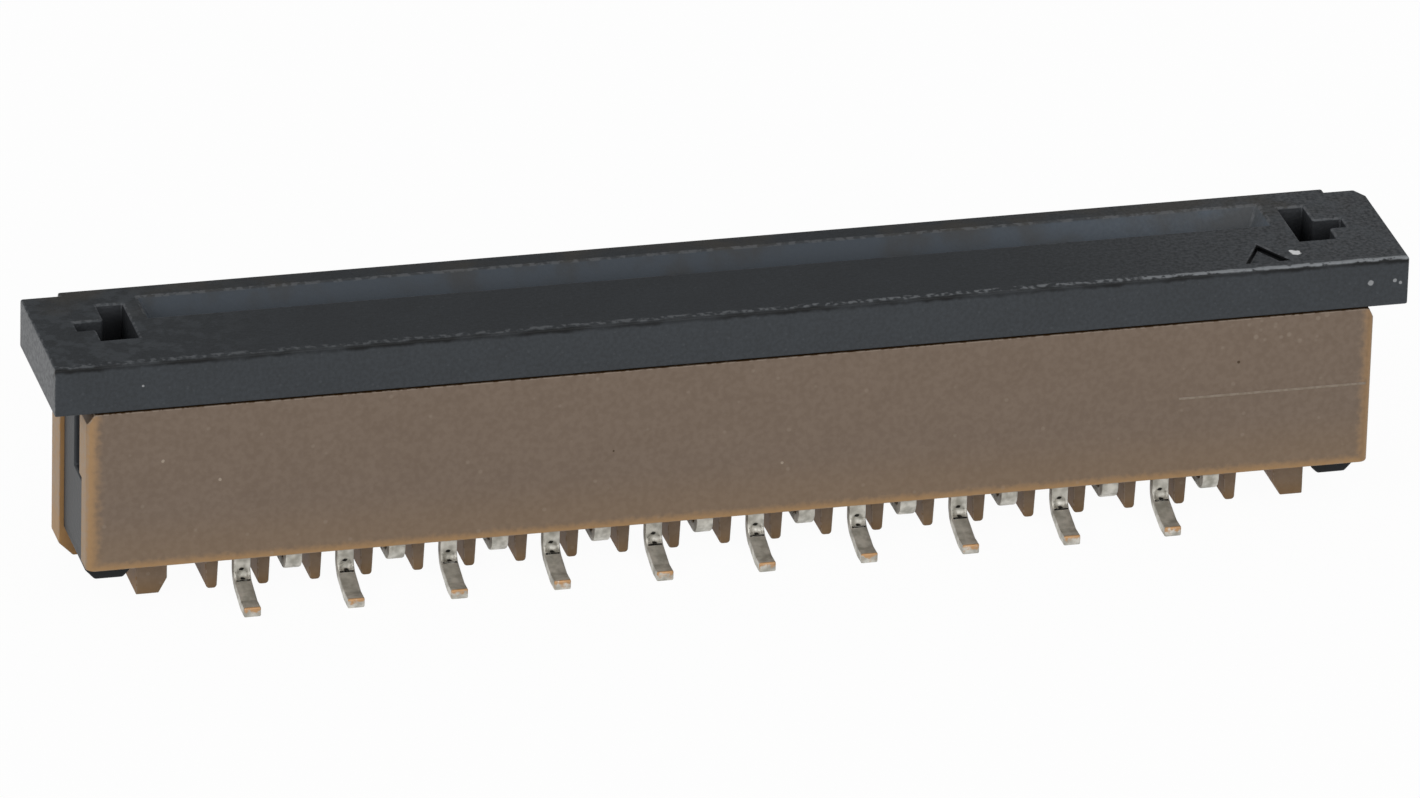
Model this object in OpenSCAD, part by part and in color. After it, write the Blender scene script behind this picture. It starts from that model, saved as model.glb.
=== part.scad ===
// Upright surface-mount connector for a flat flexible cable, with a lift-up slider.
// X runs along the row of contacts, Y from front to back, Z up from the board.
// The origin is on the board, under the middle of the connector.
// The slider is drawn pressed down, which is its closed place.

/* [Contacts] */
// Number of contacts in the row
positions = 20; // [4:2:50]
// Distance between neighbouring contacts
pitch = 1.0; // [0.9:0.05:1.6]
// Width of a contact strip
contact_w = 0.33; // [0.26:0.01:0.42]
// Thickness of the strip that the contacts are bent from
contact_t = 0.2; // [0.14:0.01:0.22]
// Distance from the middle of the connector to the tip of a solder foot
foot_reach = 2.37; // [2.2:0.01:3.2]
// Length of the flat sole of a solder foot
sole_l = 0.3; // [0.15:0.01:0.45]
// Slope of a tail behind its sole, in degrees
foot_slope = 18; // [15:1:28]
// Middle radius of the bends in a tail
tail_r = 0.22; // [0.16:0.01:0.26]
// Middle radius of the bend between a front tail and its stem
stem_r = 0.34; // [0.2:0.01:0.4]
// Height of the middle of a back tail where it runs under the housing
run_z = 0.48; // [0.4:0.01:0.6]
// Middle radius of the hairpin at the top of a contact
hairpin_r = 0.26; // [0.2:0.01:0.32]
// Height of the bend that presses on the cable, above the floor
bump_h = 0.75; // [0.6:0.01:1.2]
// Middle radius of that bend
bump_r = 0.2; // [0.14:0.01:0.26]
// Lean of the short end below it, in degrees
end_lean = 40; // [25:1:50]
// Length of that short end
end_l = 0.3; // [0.15:0.01:0.4]
// How far a relaxed spring arm reaches into the cable's space
arm_bite = 0.12; // [0.04:0.01:0.16]
// Radius of the coined dimple at the foot of each front stem
dimple_r = 0.1; // [0.05:0.01:0.12]
// Depth of the coined dimple
dimple_depth = 0.05; // [0.02:0.01:0.06]

/* [Cable] */
// Thickness of the cable's stiffened end
cable_t = 0.3; // [0.2:0.01:0.4]
// Clearance of the cable in its slot, in thickness
cable_gap = 0.06; // [0.03:0.01:0.12]
// Clearance at each edge of the cable
cable_side_gap = 0.1; // [0.05:0.01:0.2]

/* [Housing] */
// Depth of the housing from front to back
housing_d = 3.24; // [3.1:0.01:3.6]
// Height of the housing's walls
wall_h = 3.25; // [3:0.05:4.5]
// Height of the walls' lower edge above the board
wall_z = 0.9; // [0.85:0.01:1.2]
// Thickness of the front wall
front_wall_t = 0.55; // [0.5:0.01:0.6]
// Plastic left in front of the contact stems
front_skin_t = 0.28; // [0.2:0.01:0.3]
// Thickness of the back wall
back_wall_t = 0.48; // [0.3:0.01:0.55]
// Thickness of the wall at each end of the cable slot
end_wall_t = 0.86; // [0.7:0.01:1.2]
// Thickness of the floor that stops the cable
floor_t = 0.4; // [0.3:0.01:0.5]
// Thickness of the ribs between the spring arms
rib_t = 0.3; // [0.2:0.01:0.34]
// Depth of the ribs' tops below the top of the walls
rib_drop = 0.2; // [0.1:0.01:0.5]
// Clearance beside a stem in its groove
groove_gap = 0.01; // [0.01:0.01:0.04]
// Radius of the front wall's upright edges
edge_r = 0.18; // [0.05:0.01:0.24]
// Width of the chamfer at the front wall's top corners
corner_w = 0.13; // [0.05:0.01:0.3]
// Height of that chamfer
corner_h = 0.25; // [0.1:0.01:0.4]

/* [Feet] */
// Clearance between the plastic feet and the board
board_gap = 0.02; // [0.01:0.01:0.08]
// Setback of the feet from the front of the housing
foot_setback = 0.66; // [0.6:0.01:0.8]
// Thickness of a fin where it meets the floor
fin_top_t = 0.28; // [0.2:0.01:0.3]
// Thickness of a fin at its lower edge
fin_low_t = 0.21; // [0.14:0.01:0.26]
// Length of the boss at each end of the row of fins
boss_l = 0.6; // [0.4:0.01:0.66]
// Width of the chamfer on a boss
boss_cut_w = 0.16; // [0.08:0.01:0.2]
// Height of that chamfer
boss_cut_h = 0.3; // [0.15:0.01:0.4]

/* [End bays] */
// Length of the open bay that a slider leg runs in
bay_l = 1.09; // [1:0.01:1.4]
// Depth of the post behind each bay
post_d = 0.69; // [0.5:0.01:0.8]
// Chamfer at the outer lower corner of a post
post_cut = 0.28; // [0.1:0.01:0.5]
// Depth of the stop lip behind the front wall, at the front of each bay
lip_d = 0.21; // [0.2:0.01:0.45]
// Height of the stop lip
lip_h = 1.53; // [1.4:0.01:1.9]

/* [Slider] */
// Depth of the slider's head from front to back
head_d = 3.4; // [3.3:0.01:4]
// Height of the slider's head
head_h = 0.98; // [0.8:0.01:1.4]
// Overhang of the head beyond each end of the housing
overhang = 0.63; // [0.3:0.01:1.2]
// Travel of the slider from closed to open
travel = 1.1; // [0.8:0.01:1.12]
// Gap between the head and the housing when closed
seat_gap = 0.02; // [0.02:0.01:0.1]
// Running clearance of the slider's tongue and legs
slide_gap = 0.03; // [0.02:0.01:0.05]
// Thickness of the tongue that wedges the cable
tongue_t = 0.34; // [0.28:0.01:0.4]
// Clearance at each end of the tongue
tongue_end_gap = 0.1; // [0.04:0.01:0.2]
// Clearance between the tongue and the floor when closed
tongue_floor_gap = 0.1; // [0.06:0.01:0.3]
// Height of the taper at the tongue's tip
taper_h = 0.6; // [0.3:0.01:0.9]
// Depth of that taper
taper_d = 0.16; // [0.08:0.01:0.2]

/* [Cable mouth] */
// Height of the straight neck under the funnel
neck_h = 0.26; // [0.2:0.01:0.4]
// Flare of the funnel towards the back
flare_back = 0.54; // [0.2:0.01:0.6]
// Flare of the funnel towards the front
flare_front = 0.07; // [0.02:0.01:0.2]
// Flare of the funnel at each end
flare_end = 0.4; // [0.1:0.01:0.45]
// Depth of the small flare at the front lip
front_flare_h = 0.3; // [0.1:0.01:0.4]

/* [Slider ends] */
// Length of the stepped back shoulder at each end of the head
shoulder_l = 0.75; // [0.4:0.01:0.9]
// Depth of that step
shoulder_d = 0.16; // [0.06:0.01:0.2]
// Length of the cut on the back corner at the marked end
corner_cut_l = 0.16; // [0.1:0.01:0.4]
// Depth of the cut on that corner
corner_cut_d = 0.3; // [0.1:0.01:0.4]
// Thickness of a leg's shank
shank_t = 0.5; // [0.44:0.01:0.54]
// Width of a leg's shank
shank_w = 0.95; // [0.6:0.01:1]
// Setback of a leg from the end of the housing
leg_setback = 0.08; // [0.04:0.01:0.1]
// Clearance between a leg and the end wall
leg_end_gap = 0.14; // [0.08:0.01:0.2]
// Height of a leg's lower end above the board
leg_z = 0.45; // [0.3:0.01:0.5]
// Height of a leg's web below the stop lip
web_drop = 0.22; // [0.03:0.01:0.25]
// Width of the chamfer on the outer lower edge of a leg
leg_cut_w = 0.2; // [0.1:0.01:0.3]
// Height of that chamfer
leg_cut_h = 0.22; // [0.1:0.01:0.5]
// Chamfer on the inner lower edge of a leg
leg_cut_in = 0.13; // [0.05:0.01:0.16]

/* [Key windows] */
// Length of the through window beside each leg
window_l = 0.51; // [0.3:0.01:0.6]
// Wall left between the window and the leg
window_wall = 0.13; // [0.03:0.01:0.2]
// Front edge of the window, measured from the middle
window_front = 0.56; // [0.4:0.01:0.8]
// Back edge of the window, measured from the middle
window_back = 1.0; // [0.6:0.01:1.1]
// Depth of the blind steps beside the window
step_depth = 0.72; // [0.2:0.01:0.72]
// Reach of the long blind step beyond the window
long_step_l = 0.57; // [0.3:0.01:0.7]
// Reach of the short blind step beyond the window
short_step_l = 0.22; // [0.1:0.01:0.3]
// Back edge of the long step, measured from the middle
long_step_back = 0.33; // [0.2:0.01:0.5]
// Width of the long step
long_step_w = 0.4; // [0.2:0.01:0.5]

/* [First-contact mark] */
// Width of the sunk triangle that marks the first contact
mark_w = 0.85; // [0.4:0.01:1]
// Depth of the triangle from front to back
mark_d = 0.78; // [0.3:0.01:0.8]
// Setback of the triangle from the head's front
mark_setback = 0.36; // [0.2:0.01:0.5]
// Distance from the mark's middle to the end of the mouth
mark_inset = 0.53; // [0.4:0.01:1]
// Depth to which the mark is sunk
mark_depth = 0.12; // [0.04:0.01:0.2]

/* [Hidden] */
$fn = 48;
// Largest turn between two points of a bend, in degrees
BEND_STEP = 9;
// Overrun of a cut past the face that it opens
OVER = 1;

// Along X, measured from the middle
cavity_x = (positions + 1) * pitch / 2 + cable_side_gap;
end_x = cavity_x + end_wall_t;
housing_x = end_x + bay_l;
head_x = housing_x + overhang;
mouth_x = cavity_x + flare_end;
leg_out_x = housing_x - leg_setback;
shank_in_x = leg_out_x - shank_t;
leg_in_x = end_x + leg_end_gap;
window_out_x = shank_in_x - window_wall;
window_in_x = window_out_x - window_l;

// Along Y
front_y = -head_d / 2;
head_back_y = head_d / 2;
back_y = front_y + housing_d;
cavity_front_y = front_y + front_wall_t;
cavity_back_y = back_y - back_wall_t;
stem_y = front_y + front_skin_t + contact_t / 2;
foot_front_y = front_y + foot_setback;
post_front_y = back_y - post_d;
lip_back_y = cavity_front_y + lip_d;
tongue_back_y = cavity_back_y - slide_gap;
tongue_front_y = tongue_back_y - tongue_t;
slot_front_y = tongue_front_y - cable_t - cable_gap;
rib_back_y = slot_front_y - cable_side_gap;
leg_back_y = post_front_y - slide_gap;
shank_front_y = leg_back_y - shank_w;
web_front_y = lip_back_y + slide_gap;
hook_front_y = cavity_front_y + slide_gap;

// Along Z
top_z = wall_z + wall_h;
floor_z = wall_z + floor_t;
lip_z = top_z - lip_h;
head_z = top_z + seat_gap;
head_top_z = head_z + head_h;
neck_z = head_z + neck_h;
tongue_z = floor_z + tongue_floor_gap;
web_z = lip_z - web_drop;
stop_z = lip_z - travel - slide_gap / 2;
step_z = head_top_z - step_depth;
shank_top_z = (head_z + step_z) / 2;
stem_top_z = top_z - rib_drop - contact_t / 2 - hairpin_r;

// Names and places of the contacts, counted from the marked end
function contact_name(i) = str("contact_", i < 10 ? "0" : "", i);
function contact_x(i) = ((positions + 1) / 2 - i) * pitch;
function is_front(i) = i % 2 == 0;

// A place on a bent strip is [across, up, heading in degrees]
function ahead(p, d) = [p[0] + d * cos(p[2]), p[1] + d * sin(p[2]), p[2]];
function turned(p, a, r) = [
    p[0] + sign(a) * r * (sin(p[2] + a) - sin(p[2])),
    p[1] - sign(a) * r * (cos(p[2] + a) - cos(p[2])),
    p[2] + a
];

// Places along a strip whose steps are [straight length, bend angle, bend radius]
function walk(p, steps, i = 0) =
    i == len(steps) ? [p] :
    let (
        far = ahead(p, steps[i][0]),
        turn = steps[i][1],
        r = steps[i][2],
        count = ceil(abs(turn) / BEND_STEP)
    )
    concat(
        [p],
        [for (k = [0:1:count - 1]) turned(far, turn * k / count, r)],
        walk(turned(far, turn, r), steps, i + 1)
    );

// One face of a strip, at distance d to the left of its middle line
function face(path, d) = [for (p = path) [p[0] - d * sin(p[2]), p[1] + d * cos(p[2])]];
function backwards(list) = [for (i = [len(list) - 1:-1:0]) list[i]];

// Steps of a front tail, from the tip of its sole to the foot of the stem
front_bends_y = tail_r * sin(foot_slope) + stem_r * (1 - sin(foot_slope));
front_slope_l = (foot_reach + stem_y - sole_l - front_bends_y) / cos(foot_slope);
front_stem_z = contact_t / 2 + tail_r * (1 - cos(foot_slope))
    + front_slope_l * sin(foot_slope) + stem_r * cos(foot_slope);
function front_tail() = [
    [sole_l, foot_slope, tail_r],
    [front_slope_l, 90 - foot_slope, stem_r]
];

// Steps of a back tail, which runs under the housing to the same row of stems
back_rise = run_z - contact_t / 2;
back_slope_l = (back_rise - 2 * tail_r * (1 - cos(foot_slope))) / sin(foot_slope);
back_slope_y = 2 * tail_r * sin(foot_slope) + back_slope_l * cos(foot_slope);
back_run_l = foot_reach - stem_y - sole_l - back_slope_y - tail_r;
back_stem_z = run_z + tail_r;
function back_tail() = [
    [sole_l, -foot_slope, tail_r],
    [back_slope_l, foot_slope, tail_r],
    [back_run_l, -90, tail_r]
];

// Steps of the spring: stem, hairpin, arm, pressing bend and short end.
// The arm is the straight line that touches the circles of both bends.
bends_y = slot_front_y + arm_bite - contact_t / 2 - bump_r - stem_y - hairpin_r;
bends_z = floor_z + bump_h - stem_top_z;
bends_apart = norm([bends_y, bends_z]);
arm_l = sqrt(bends_apart ^ 2 - (hairpin_r - bump_r) ^ 2);
arm_heading = atan2(bends_z, bends_y) - asin((hairpin_r - bump_r) / bends_apart);
function spring(stem_z) = [
    [stem_top_z - stem_z, arm_heading - 90, hairpin_r],
    [arm_l, -90 - end_lean - arm_heading, bump_r],
    [end_l, 0, bump_r]
];

// A box from its lowest corner to its highest
module block(low, high) {
    translate(low)
        cube(high - low);
}

// A flat shape in Y and Z, drawn out along X
module along_x(x0, x1) {
    translate([x0, 0, 0])
        rotate([90, 0, 90])
            linear_extrude(x1 - x0)
                children();
}

// A flat shape in X and Z, drawn out along Y
module along_y(y0, y1) {
    translate([0, y1, 0])
        rotate([90, 0, 0])
            linear_extrude(y1 - y0)
                children();
}

module both_ends() {
    children();
    mirror([1, 0, 0])
        children();
}

// One copy at each gap between contacts, and one outside each end contact
module between_contacts() {
    for (i = [0:positions])
        translate([(i - positions / 2) * pitch, 0, 0])
            children();
}

// Front wall with rounded upright edges and cut top corners
module front_wall() {
    intersection() {
        translate([0, 0, wall_z])
            linear_extrude(wall_h)
                front_wall_plan();
        along_y(front_y, cavity_front_y)
            polygon([
                [-housing_x, wall_z], [housing_x, wall_z],
                [housing_x, top_z - corner_h], [housing_x - corner_w, top_z],
                [-housing_x + corner_w, top_z], [-housing_x, top_z - corner_h]
            ]);
    }
}

module front_wall_plan() {
    flat_x = housing_x - edge_r;
    translate([-flat_x, front_y])
        square([2 * flat_x, front_wall_t]);
    translate([-housing_x, front_y + edge_r])
        square([2 * housing_x, front_wall_t - edge_r]);
    for (x = [-flat_x, flat_x])
        translate([x, front_y + edge_r])
            circle(edge_r);
}

// Floor, back wall and the solid ends of the cable slot
module tray() {
    block([-end_x, cavity_front_y, wall_z], [end_x, back_y, floor_z]);
    block([-end_x, cavity_back_y, wall_z], [end_x, back_y, top_z]);
    both_ends()
        block([cavity_x, cavity_front_y, wall_z], [end_x, back_y, top_z]);
}

// Post behind a leg bay, which stands down to the board
module post() {
    foot_z = 1.5 * board_gap;
    along_y(post_front_y, back_y)
        polygon([
            [end_x, foot_z], [housing_x - post_cut, foot_z],
            [housing_x, foot_z + post_cut], [housing_x, top_z], [end_x, top_z]
        ]);
}

// Lip that stops the slider at the top of its travel
module lip() {
    block([end_x, cavity_front_y, lip_z], [housing_x, lip_back_y, top_z]);
}

// Comb of ribs that keeps the spring arms apart
module rib() {
    block([-rib_t / 2, cavity_front_y, floor_z], [rib_t / 2, rib_back_y, top_z - rib_drop]);
}

// Fin under the floor, between two contact tails
module fin() {
    round_r = fin_low_t / 3;
    low_z = board_gap + round_r;
    low_x = fin_low_t / 2 - round_r;
    along_y(foot_front_y, back_y) {
        polygon([
            [-fin_low_t / 2, low_z], [fin_low_t / 2, low_z],
            [fin_top_t / 2, wall_z], [-fin_top_t / 2, wall_z]
        ]);
        translate([-low_x, board_gap])
            square([2 * low_x, round_r]);
        for (x = [-low_x, low_x])
            translate([x, low_z])
                circle(round_r);
    }
}

// Boss under the end wall
module boss() {
    in_x = end_x - boss_l;
    along_y(foot_front_y, back_y)
        polygon([
            [in_x + boss_cut_w, board_gap], [end_x, board_gap], [end_x, wall_z],
            [in_x, wall_z], [in_x, board_gap + boss_cut_h]
        ]);
}

// Groove in the front wall that holds a stem
module groove() {
    half = contact_w / 2 + groove_gap;
    block([-half, front_y + front_skin_t, wall_z - OVER], [half, cavity_front_y, top_z + OVER]);
}

module housing() {
    color("#7a6a5a") {
        difference() {
            front_wall();
            for (i = [1:positions])
                translate([contact_x(i), 0, 0])
                    groove();
        }
        tray();
        both_ends() {
            post();
            lip();
            boss();
        }
        between_contacts() {
            rib();
            fin();
        }
    }
}

// Outline of the head from above: stepped back shoulders, one corner cut
module head_plan() {
    step_x = head_x - shoulder_l;
    step_y = head_back_y - shoulder_d;
    polygon([
        [-head_x, front_y], [head_x, front_y], [head_x, step_y - corner_cut_d],
        [head_x - corner_cut_l, step_y], [step_x, step_y], [step_x, head_back_y],
        [-step_x, head_back_y], [-step_x, step_y], [-head_x, step_y]
    ]);
}

// Funnel and slot that lead the cable through the head
module mouth() {
    intersection() {
        along_x(-head_x, head_x)
            polygon([
                [slot_front_y, head_z - OVER], [tongue_front_y, head_z - OVER],
                [tongue_front_y, neck_z], [tongue_front_y + flare_back, head_top_z],
                [tongue_front_y + flare_back, head_top_z + OVER],
                [slot_front_y - flare_front, head_top_z + OVER],
                [slot_front_y - flare_front, head_top_z],
                [slot_front_y, head_top_z - front_flare_h]
            ]);
        along_y(front_y, head_back_y)
            polygon([
                [-cavity_x, head_z - OVER], [cavity_x, head_z - OVER],
                [cavity_x, neck_z], [mouth_x, head_top_z], [mouth_x, head_top_z + OVER],
                [-mouth_x, head_top_z + OVER], [-mouth_x, head_top_z], [-cavity_x, neck_z]
            ]);
    }
}

// T-shaped window beside a leg: a through slot with two blind steps
module window() {
    block([window_in_x, -window_front, head_z - OVER],
        [window_out_x, window_back, head_top_z + OVER]);
    block([window_in_x, long_step_back - long_step_w, step_z],
        [window_out_x + long_step_l, long_step_back, head_top_z + OVER]);
    block([window_in_x, -window_front, step_z],
        [window_out_x + short_step_l, long_step_back - long_step_w, head_top_z + OVER]);
}

// Sunk triangle that marks the first contact
module first_mark() {
    x = mouth_x - mark_inset;
    y = front_y + mark_setback;
    translate([0, 0, head_top_z - mark_depth])
        linear_extrude(mark_depth + OVER)
            polygon([[x - mark_w / 2, y], [x + mark_w / 2, y], [x, y + mark_d]]);
}

// Wedge that presses the cable onto the spring arms
module tongue() {
    half = cavity_x - tongue_end_gap;
    along_x(-half, half)
        polygon([
            [tongue_front_y, neck_z], [tongue_front_y, tongue_z + taper_h],
            [tongue_front_y + taper_d, tongue_z], [tongue_back_y, tongue_z],
            [tongue_back_y, neck_z]
        ]);
}

// Leg in its end bay: shank, web behind the stop lip and the hook that meets the lip
module leg() {
    block([shank_in_x, shank_front_y, leg_z + leg_cut_h], [leg_out_x, leg_back_y, shank_top_z]);
    block([leg_in_x, web_front_y, leg_z + leg_cut_h], [leg_out_x, leg_back_y, web_z]);
    along_y(hook_front_y, leg_back_y)
        polygon([
            [leg_in_x + leg_cut_in, leg_z], [leg_out_x - leg_cut_w, leg_z],
            [leg_out_x, leg_z + leg_cut_h], [leg_out_x, stop_z],
            [leg_in_x, stop_z], [leg_in_x, leg_z + leg_cut_in]
        ]);
}

module slider() {
    color("#35373a") {
        difference() {
            translate([0, 0, head_z])
                linear_extrude(head_h)
                    head_plan();
            mouth();
            both_ends()
                window();
            first_mark();
        }
        tongue();
        both_ends()
            leg();
    }
}

// Ball that coins the dimple at the foot of a front stem
module dimple() {
    ball_r = (dimple_r * dimple_r + dimple_depth * dimple_depth) / (2 * dimple_depth);
    translate([0, stem_y - contact_t / 2 + dimple_depth - ball_r, front_stem_z - dimple_r])
        sphere(ball_r);
}

// Contact bent from strip: solder foot, tail, stem and spring arm
module contact(i) {
    front = is_front(i);
    start = front ? [-foot_reach, contact_t / 2, 0] : [foot_reach, contact_t / 2, 180];
    tail = front ? front_tail() : back_tail();
    stem_z = front ? front_stem_z : back_stem_z;
    path = walk(start, concat(tail, spring(stem_z)));
    color("#b9b6ac")
        translate([contact_x(i), 0, 0])
            difference() {
                along_x(-contact_w / 2, contact_w / 2)
                    polygon(concat(face(path, contact_t / 2), backwards(face(path, -contact_t / 2))));
                if (front)
                    dimple();
            }
}

housing();
slider();
for (i = [1:positions])
    contact(i);
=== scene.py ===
"""Looks of an upright board connector for a flat flexible cable.

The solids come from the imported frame, in metres. Each one is copied, its edges are softened,
and it gets the finish of the real moulding or strip. Lengths named ``_mm`` are millimetres.
"""

from __future__ import annotations

import logging
import math
from dataclasses import dataclass, field
from enum import Enum

import bpy
from mathutils import Matrix, Vector

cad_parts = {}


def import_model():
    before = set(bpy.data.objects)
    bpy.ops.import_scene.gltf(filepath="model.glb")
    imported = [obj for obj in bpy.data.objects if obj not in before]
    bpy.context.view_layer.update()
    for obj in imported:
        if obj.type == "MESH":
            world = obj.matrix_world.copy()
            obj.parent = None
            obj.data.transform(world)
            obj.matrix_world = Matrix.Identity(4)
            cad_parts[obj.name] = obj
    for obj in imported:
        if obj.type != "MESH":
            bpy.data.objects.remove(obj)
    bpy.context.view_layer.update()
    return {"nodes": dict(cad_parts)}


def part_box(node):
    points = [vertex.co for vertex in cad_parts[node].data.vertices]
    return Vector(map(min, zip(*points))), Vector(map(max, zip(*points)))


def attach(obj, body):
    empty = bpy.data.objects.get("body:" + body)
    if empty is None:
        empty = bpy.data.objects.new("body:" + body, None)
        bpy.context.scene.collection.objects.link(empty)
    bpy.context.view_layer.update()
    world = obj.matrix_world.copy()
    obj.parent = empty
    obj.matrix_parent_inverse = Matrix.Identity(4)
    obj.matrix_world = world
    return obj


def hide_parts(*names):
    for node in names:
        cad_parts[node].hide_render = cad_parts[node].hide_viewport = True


LOG = logging.getLogger("connector")
MM = 0.001

Colour = tuple[float, float, float, float]


class Body(Enum):
    """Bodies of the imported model."""

    BASE = "base"
    ACTUATOR = "actuator"


class Slot(Enum):
    """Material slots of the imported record."""

    HOUSING = "housing_plastic"
    SLIDER = "slider_plastic"
    CONTACT = "contact_tin"


def colour(code: str) -> Colour:
    """Turns a screen colour into the linear colour that a shader socket takes.

    Args:
        code: Six hexadecimal digits, red first.

    Returns:
        Linear red, green, blue and an alpha of one.
    """
    channels = [int(code[i : i + 2], 16) / 255 for i in (0, 2, 4)]
    linear = [c / 12.92 if c <= 0.04045 else ((c + 0.055) / 1.055) ** 2.4 for c in channels]
    return (linear[0], linear[1], linear[2], 1.0)


class Board:
    """Places nodes in one node tree and joins them."""

    def __init__(self, tree: bpy.types.NodeTree) -> None:
        """Starts on a node tree, whose nodes are kept."""
        self.tree = tree

    def add(self, kind: str, **settings: object) -> bpy.types.Node:
        """Adds one node.

        Args:
            kind: Blender's name of the node type.
            **settings: Properties to set on the node.

        Returns:
            The new node.
        """
        node = self.tree.nodes.new(kind)
        for name, value in settings.items():
            setattr(node, name, value)
        return node

    def feed(self, socket: bpy.types.NodeSocket, value: object) -> None:
        """Gives a socket its value: another node's output, or a plain number or colour."""
        if isinstance(value, bpy.types.NodeSocket):
            self.tree.links.new(value, socket)
        else:
            socket.default_value = value

    def math(self, operation: str, *values: object, clamp: bool = False) -> bpy.types.NodeSocket:
        """Works out one number from others.

        Args:
            operation: Blender's name of the operation, such as MULTIPLY.
            *values: Numbers or sockets, in the order that the node takes them.
            clamp: Whether the result is kept from 0 to 1.

        Returns:
            The socket with the result.
        """
        node = self.add("ShaderNodeMath", operation=operation, use_clamp=clamp)
        for socket, value in zip(node.inputs, values):
            self.feed(socket, value)
        return node.outputs[0]

    def ramp(self, value: object, low: object, high: object) -> bpy.types.NodeSocket:
        """Smoothly maps a number to 0 at low and 1 at high, which may be the smaller one."""
        node = self.add("ShaderNodeMapRange", interpolation_type="SMOOTHSTEP")
        self.feed(node.inputs["Value"], value)
        self.feed(node.inputs["From Min"], low)
        self.feed(node.inputs["From Max"], high)
        return node.outputs["Result"]

    def mix(self, share: object, under: object, over: object) -> bpy.types.NodeSocket:
        """Lays one colour over another.

        Args:
            share: How much of the upper colour shows, from 0 to 1.
            under: The lower colour.
            over: The upper colour.

        Returns:
            The socket with the mixed colour.
        """
        node = self.add("ShaderNodeMix", data_type="RGBA")
        self.feed(node.inputs[0], share)
        self.feed(node.inputs[6], under)
        self.feed(node.inputs[7], over)
        return node.outputs[2]

    def place_mm(self) -> bpy.types.NodeSocket:
        """Gives the place on the piece, in millimetres."""
        where = self.add("ShaderNodeTexCoord")
        scaled = self.add("ShaderNodeMapping")
        scaled.inputs["Scale"].default_value = (1 / MM, 1 / MM, 1 / MM)
        self.feed(scaled.inputs["Vector"], where.outputs["Object"])
        return scaled.outputs["Vector"]

    def noise(self, place: object, scale: object, detail: float = 2.0) -> bpy.types.NodeSocket:
        """Gives soft noise at a number of waves to the millimetre."""
        node = self.add("ShaderNodeTexNoise")
        self.feed(node.inputs["Vector"], place)
        self.feed(node.inputs["Scale"], scale)
        node.inputs["Detail"].default_value = detail
        return node.outputs["Fac"]

    def split(self, vector: object) -> tuple[bpy.types.NodeSocket, ...]:
        """Splits a vector into its three numbers."""
        node = self.add("ShaderNodeSeparateXYZ")
        self.feed(node.inputs[0], vector)
        return tuple(node.outputs)[:3]

    def facing(self) -> tuple[bpy.types.NodeSocket, ...]:
        """Gives the way that the surface faces, as three numbers."""
        return self.split(self.add("ShaderNodeTexCoord").outputs["Normal"])

    def every(self, *masks: object) -> bpy.types.NodeSocket:
        """Gives the mask that holds where all the masks hold."""
        result = masks[0]
        for mask in masks[1:]:
            result = self.math("MULTIPLY", result, mask)
        return result

    def between(
        self, value: object, low: float, high: float, soft: float = 0.02
    ) -> bpy.types.NodeSocket:
        """Gives 1 where a number lies between two others, with soft ends."""
        return self.every(self.ramp(value, low - soft, low), self.ramp(value, high + soft, high))

    def seen(self) -> bpy.types.NodeSocket:
        """Gives 1 to rays from the camera, a gloss or a clear body, and 0 to light that spreads."""
        path = self.add("ShaderNodeLightPath")
        direct = self.math("MAXIMUM", path.outputs["Is Camera Ray"], path.outputs["Is Glossy Ray"])
        return self.math("MAXIMUM", direct, path.outputs["Is Transmission Ray"])


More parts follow.
